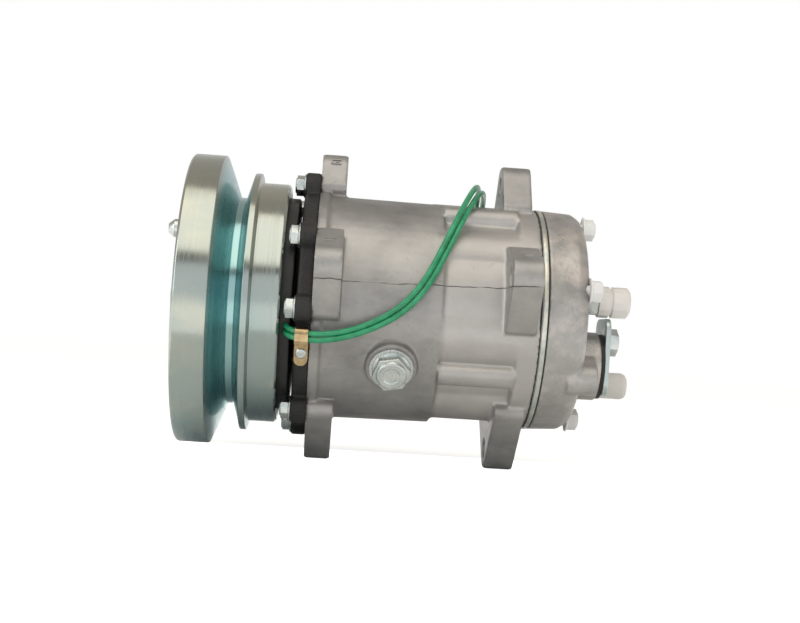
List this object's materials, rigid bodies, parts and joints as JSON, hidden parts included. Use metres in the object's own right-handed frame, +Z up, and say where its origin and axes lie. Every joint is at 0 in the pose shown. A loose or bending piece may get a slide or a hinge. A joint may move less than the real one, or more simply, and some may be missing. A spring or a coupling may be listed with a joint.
{
  "type": "wobble plate refrigerant compressor",
  "caption": "Belt-driven wobble-plate air-conditioning compressor with an electromagnetic clutch pulley, cast mounting ears, capped service ports and coil leads.",
  "frame": {"origin": "on the shaft axis, in the plane of the front mounting ears' front faces", "axes": "+X along the shaft from the clutch to the cylinder head, +Z up through the upper mounting ear, +Y away from the side with the oil plug"},
  "size_m": [0.2487, 0.1572, 0.162],
  "materials": {
    "cast_aluminium": "as-cast, matte",
    "black_housing": "black paint over a casting",
    "zinc_plate": "bright zinc plate, turned",
    "steel": "ground or hardened steel",
    "machined_aluminium": "machined",
    "gasket_rubber": "matte",
    "copper_winding": "enamelled wire in resin",
    "gold_clip": "yellow zinc plate",
    "green_insulation": "soft sleeve",
    "black_connector": "moulded",
    "white_cap": "translucent"
  },
  "bodies": {
    "root": {"cylinder_block": "cast_aluminium", "oil_plug": "zinc_plate", "front_housing": "black_housing", "housing_bolts": "zinc_plate", "pulley_bearing_inner_race": "steel", "snap_rings": "steel", "coil_shell": "black_housing", "coil_winding": "copper_winding", "shaft_needle_bearing": "steel", "shaft_seal": "gasket_rubber", "fixed_gear": "steel", "gear_preload_spring": "steel", "centre_ball": "steel", "gaskets": "gasket_rubber", "valve_reeds": "steel", "valve_plate": "steel", "cylinder_head": "cast_aluminium", "head_and_cover_bolts": "zinc_plate", "port_cover_plate": "zinc_plate", "service_fitting": "zinc_plate", "service_caps": "white_cap", "lead_clip": "gold_clip", "lead_wire_a": "green_insulation", "lead_wire_b": "green_insulation", "lead_connector": "black_connector"},
    "pulley": {"pulley": "zinc_plate", "pulley_bearing_outer_race": "steel"},
    "bearing_balls": {"pulley_bearing_balls": "steel"},
    "shaft": {"drive_shaft": "steel", "cam_rotor": "steel", "clutch_hub": "zinc_plate", "hub_studs": "zinc_plate", "shaft_nut_and_key": "zinc_plate"},
    "armature": {"armature_plate": "zinc_plate", "armature_leaf_springs": "steel"},
    "front_rollers": {"front_thrust_rollers": "steel"},
    "wobble_rollers": {"wobble_thrust_rollers": "steel"},
    "wobble_plate": {"wobble_plate": "machined_aluminium", "wobble_gear": "steel"},
    "rod_ball_1": {"rod_ball_1": "steel"},
    "rod_1": {"connecting_rod_1": "steel"},
    "piston_1": {"piston_1": "machined_aluminium"},
    "rod_ball_2": {"rod_ball_2": "steel"},
    "rod_2": {"connecting_rod_2": "steel"},
    "piston_2": {"piston_2": "machined_aluminium"},
    "rod_ball_3": {"rod_ball_3": "steel"},
    "rod_3": {"connecting_rod_3": "steel"},
    "piston_3": {"piston_3": "machined_aluminium"},
    "rod_ball_4": {"rod_ball_4": "steel"},
    "rod_4": {"connecting_rod_4": "steel"},
    "piston_4": {"piston_4": "machined_aluminium"},
    "rod_ball_5": {"rod_ball_5": "steel"},
    "rod_5": {"connecting_rod_5": "steel"},
    "piston_5": {"piston_5": "machined_aluminium"},
    "rod_ball_6": {"rod_ball_6": "steel"},
    "rod_6": {"connecting_rod_6": "steel"},
    "piston_6": {"piston_6": "machined_aluminium"},
    "rod_ball_7": {"rod_ball_7": "steel"},
    "rod_7": {"connecting_rod_7": "steel"},
    "piston_7": {"piston_7": "machined_aluminium"}
  },
  "joints": [
    {"name": "pulley_spin", "type": "hinge", "parent": "root", "child": "pulley", "pos_m": [-0.036, 0, 0], "axis": [1, 0, 0], "continuous": true},
    {"name": "bearing_ball_spin", "type": "hinge", "parent": "root", "child": "bearing_balls", "pos_m": [-0.036, 0, 0], "axis": [1, 0, 0], "continuous": true},
    {"name": "shaft_spin", "type": "hinge", "parent": "root", "child": "shaft", "pos_m": [0, 0, 0], "axis": [1, 0, 0], "continuous": true},
    {"name": "armature_pull", "type": "slide", "parent": "shaft", "child": "armature", "axis": [1, 0, 0], "range_m": [0, 0.00045], "stiffness_N_per_m": 60000},
    {"name": "front_roller_spin", "type": "hinge", "parent": "root", "child": "front_rollers", "pos_m": [0.0023, 0, 0], "axis": [1, 0, 0], "continuous": true},
    {"name": "wobble_roller_spin", "type": "hinge", "parent": "shaft", "child": "wobble_rollers", "pos_m": [0.038, 0, 0], "axis": [0.9116, 0, -0.411], "continuous": true},
    {"name": "wobble", "type": "hinge", "parent": "shaft", "child": "wobble_plate", "pos_m": [0.038, 0, 0], "axis": [0.9116, 0, -0.411], "continuous": true},
    {"name": "rod_ball_1_turn", "type": "hinge", "parent": "wobble_plate", "child": "rod_ball_1", "pos_m": [0.0544, 0, 0.03637], "axis": [0.9116, 0, -0.411], "continuous": true},
    {"name": "rod_1_swing", "type": "hinge", "parent": "rod_ball_1", "child": "rod_1", "pos_m": [0.0544, 0, 0.03637], "axis": [1, 0, 0], "continuous": true},
    {"name": "piston_1_guide", "type": "hinge", "parent": "rod_1", "child": "piston_1", "pos_m": [0.10237, 0, 0.03814], "axis": [1, 0, 0], "continuous": true},
    {"name": "rod_ball_2_turn", "type": "hinge", "parent": "wobble_plate", "child": "rod_ball_2", "pos_m": [0.04823, -0.0312, 0.02268], "axis": [0.9116, 0, -0.411], "continuous": true},
    {"name": "rod_2_swing", "type": "hinge", "parent": "rod_ball_2", "child": "rod_2", "pos_m": [0.04823, -0.0312, 0.02268], "axis": [1, 0, 0], "continuous": true},
    {"name": "piston_2_guide", "type": "hinge", "parent": "rod_2", "child": "piston_2", "pos_m": [0.09619, -0.02982, 0.02378], "axis": [1, 0, 0], "continuous": true},
    {"name": "rod_ball_3_turn", "type": "hinge", "parent": "wobble_plate", "child": "rod_ball_3", "pos_m": [0.03435, -0.0389, -0.00809], "axis": [0.9116, 0, -0.411], "continuous": true},
    {"name": "rod_3_swing", "type": "hinge", "parent": "rod_ball_3", "child": "rod_3", "pos_m": [0.03435, -0.0389, -0.00809], "axis": [1, 0, 0], "continuous": true},
    {"name": "piston_3_guide", "type": "hinge", "parent": "rod_3", "child": "piston_3", "pos_m": [0.08232, -0.03718, -0.00849], "axis": [1, 0, 0], "continuous": true},
    {"name": "rod_ball_4_turn", "type": "hinge", "parent": "wobble_plate", "child": "rod_ball_4", "pos_m": [0.02322, -0.01731, -0.03277], "axis": [0.9116, 0, -0.411], "continuous": true},
    {"name": "rod_4_swing", "type": "hinge", "parent": "rod_ball_4", "child": "rod_4", "pos_m": [0.02322, -0.01731, -0.03277], "axis": [1, 0, 0], "continuous": true},
    {"name": "piston_4_guide", "type": "hinge", "parent": "rod_4", "child": "piston_4", "pos_m": [0.07119, -0.01655, -0.03436], "axis": [1, 0, 0], "continuous": true},
    {"name": "rod_ball_5_turn", "type": "hinge", "parent": "wobble_plate", "child": "rod_ball_5", "pos_m": [0.02322, 0.01731, -0.03277], "axis": [0.9116, 0, -0.411], "continuous": true},
    {"name": "rod_5_swing", "type": "hinge", "parent": "rod_ball_5", "child": "rod_5", "pos_m": [0.02322, 0.01731, -0.03277], "axis": [1, 0, 0], "continuous": true},
    {"name": "piston_5_guide", "type": "hinge", "parent": "rod_5", "child": "piston_5", "pos_m": [0.07119, 0.01655, -0.03436], "axis": [1, 0, 0], "continuous": true},
    {"name": "rod_ball_6_turn", "type": "hinge", "parent": "wobble_plate", "child": "rod_ball_6", "pos_m": [0.03435, 0.0389, -0.00809], "axis": [0.9116, 0, -0.411], "continuous": true},
    {"name": "rod_6_swing", "type": "hinge", "parent": "rod_ball_6", "child": "rod_6", "pos_m": [0.03435, 0.0389, -0.00809], "axis": [1, 0, 0], "continuous": true},
    {"name": "piston_6_guide", "type": "hinge", "parent": "rod_6", "child": "piston_6", "pos_m": [0.08232, 0.03718, -0.00849], "axis": [1, 0, 0], "continuous": true},
    {"name": "rod_ball_7_turn", "type": "hinge", "parent": "wobble_plate", "child": "rod_ball_7", "pos_m": [0.04823, 0.0312, 0.02268], "axis": [0.9116, 0, -0.411], "continuous": true},
    {"name": "rod_7_swing", "type": "hinge", "parent": "rod_ball_7", "child": "rod_7", "pos_m": [0.04823, 0.0312, 0.02268], "axis": [1, 0, 0], "continuous": true},
    {"name": "piston_7_guide", "type": "hinge", "parent": "rod_7", "child": "piston_7", "pos_m": [0.09619, 0.02982, 0.02378], "axis": [1, 0, 0], "continuous": true}
  ],
  "couplings": [
    {"joint": "bearing_ball_spin", "follows": "pulley_spin", "ratio": 0.571},
    {"joint": "front_roller_spin", "follows": "shaft_spin", "ratio": 0.5},
    {"joint": "wobble_roller_spin", "follows": "shaft_spin", "ratio": -0.5},
    {"joint": "wobble", "follows": "shaft_spin", "ratio": -1},
    {"joint": "rod_ball_1_turn", "follows": "shaft_spin", "ratio": 1},
    {"joint": "rod_1_swing", "follows": "shaft_spin", "ratio": 1},
    {"joint": "piston_1_guide", "follows": "shaft_spin", "ratio": -2},
    {"joint": "rod_ball_2_turn", "follows": "shaft_spin", "ratio": 1},
    {"joint": "rod_2_swing", "follows": "shaft_spin", "ratio": 1},
    {"joint": "piston_2_guide", "follows": "shaft_spin", "ratio": -2},
    {"joint": "rod_ball_3_turn", "follows": "shaft_spin", "ratio": 1},
    {"joint": "rod_3_swing", "follows": "shaft_spin", "ratio": 1},
    {"joint": "piston_3_guide", "follows": "shaft_spin", "ratio": -2},
    {"joint": "rod_ball_4_turn", "follows": "shaft_spin", "ratio": 1},
    {"joint": "rod_4_swing", "follows": "shaft_spin", "ratio": 1},
    {"joint": "piston_4_guide", "follows": "shaft_spin", "ratio": -2},
    {"joint": "rod_ball_5_turn", "follows": "shaft_spin", "ratio": 1},
    {"joint": "rod_5_swing", "follows": "shaft_spin", "ratio": 1},
    {"joint": "piston_5_guide", "follows": "shaft_spin", "ratio": -2},
    {"joint": "rod_ball_6_turn", "follows": "shaft_spin", "ratio": 1},
    {"joint": "rod_6_swing", "follows": "shaft_spin", "ratio": 1},
    {"joint": "piston_6_guide", "follows": "shaft_spin", "ratio": -2},
    {"joint": "rod_ball_7_turn", "follows": "shaft_spin", "ratio": 1},
    {"joint": "rod_7_swing", "follows": "shaft_spin", "ratio": 1},
    {"joint": "piston_7_guide", "follows": "shaft_spin", "ratio": -2}
  ]
}
